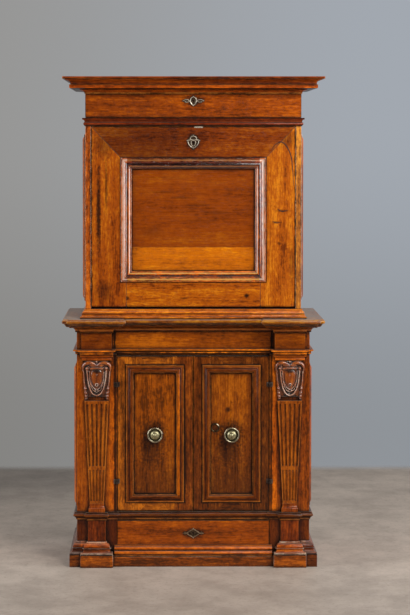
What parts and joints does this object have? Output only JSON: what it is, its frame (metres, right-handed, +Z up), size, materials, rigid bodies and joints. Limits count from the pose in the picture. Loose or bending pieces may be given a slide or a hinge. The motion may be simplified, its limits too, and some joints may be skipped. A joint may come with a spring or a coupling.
{
  "type": "fall-front writing cabinet",
  "caption": "Walnut fall-front cabinet on a cupboard base: frieze drawer, drop-down writing leaf, panelled doors between tapered fluted pilasters, plinth drawer, heavy cornice.",
  "frame": {"origin": "centre of the footprint on the floor, midway across the width and midway from the back to the cornice's front", "axes": "+Z up, +Y towards the back, +X to the right of someone who faces the cabinet"},
  "size_m": [0.88, 0.444, 1.647],
  "materials": {
    "walnut": "waxed walnut, semi-gloss, worn edges",
    "walnut_panel": "waxed walnut boards of a lighter cut",
    "secondary_wood": "plain softwood and poplar, dry and unpolished",
    "brass": "aged brass, pale and worn",
    "iron": "black wrought iron, dull"
  },
  "bodies": {
    "cabinet": {"lower_sides": "walnut", "lower_side_mouldings": "walnut", "cupboard_floor": "secondary_wood", "cupboard_shelf": "secondary_wood", "lower_back_boards": "secondary_wood", "front_stiles": "walnut", "lower_frieze_boards": "walnut", "architrave": "walnut", "bed_moulding": "walnut", "ledge_top": "walnut", "surbase_moulding": "walnut", "base_mouldings": "walnut", "plinth_boards": "walnut", "pedestal_dies": "walnut", "pilaster_caps": "walnut", "pilaster_feet": "walnut", "pilaster_shafts": "walnut", "pilaster_cartouches": "walnut", "drawer_runners": "secondary_wood", "hinge_pins": "iron", "upper_sides": "walnut", "upper_side_mouldings": "walnut", "upper_base_rail": "walnut", "desk_floor": "secondary_wood", "divider_board": "walnut", "upper_top_boards": "walnut", "upper_back_boards": "secondary_wood", "nest_uprights": "secondary_wood", "nest_shelves": "secondary_wood", "upper_base_moulding": "walnut", "mid_moulding": "walnut", "cornice": "walnut"},
    "fall_front": {"fall_stiles": "walnut", "fall_rails": "walnut", "fall_panel_boards": "walnut_panel", "fall_moulding": "walnut", "fall_pivot_pins": "iron", "fall_lock": "iron", "fall_escutcheon": "brass"},
    "frieze_drawer": {"frieze_drawer_front": "walnut", "frieze_drawer_box": "secondary_wood", "frieze_drawer_lock": "iron", "frieze_drawer_escutcheon": "brass"},
    "plinth_drawer": {"plinth_drawer_front": "walnut", "plinth_drawer_moulding": "walnut", "plinth_drawer_box": "secondary_wood", "plinth_drawer_lock": "iron", "plinth_drawer_escutcheon": "brass"},
    "left_door": {"left_door_frame": "walnut", "left_door_panel": "walnut", "left_door_moulding": "walnut", "left_door_knob": "brass", "left_door_hinges": "iron"},
    "right_door": {"right_door_frame": "walnut", "right_door_panel": "walnut", "right_door_moulding": "walnut", "right_door_knob": "brass", "right_door_hinges": "iron", "right_door_lock": "iron", "right_door_keyhole_ring": "brass"}
  },
  "joints": [
    {"name": "fall_hinge", "type": "hinge", "parent": "cabinet", "child": "fall_front", "pos_m": [0, -0.137, 0.8838], "axis": [1, 0, 0], "range_deg": [0, 90]},
    {"name": "frieze_drawer_slide", "type": "slide", "parent": "cabinet", "child": "frieze_drawer", "axis": [0, -1, 0], "range_m": [0, 0.28]},
    {"name": "plinth_drawer_slide", "type": "slide", "parent": "cabinet", "child": "plinth_drawer", "axis": [0, -1, 0], "range_m": [0, 0.28]},
    {"name": "left_door_hinge", "type": "hinge", "parent": "cabinet", "child": "left_door", "pos_m": [-0.258, -0.1494, 0.44], "axis": [0, 0, 1], "range_deg": [-110, 0]},
    {"name": "right_door_hinge", "type": "hinge", "parent": "cabinet", "child": "right_door", "pos_m": [0.258, -0.1494, 0.44], "axis": [0, 0, 1], "range_deg": [0, 110]}
  ]
}
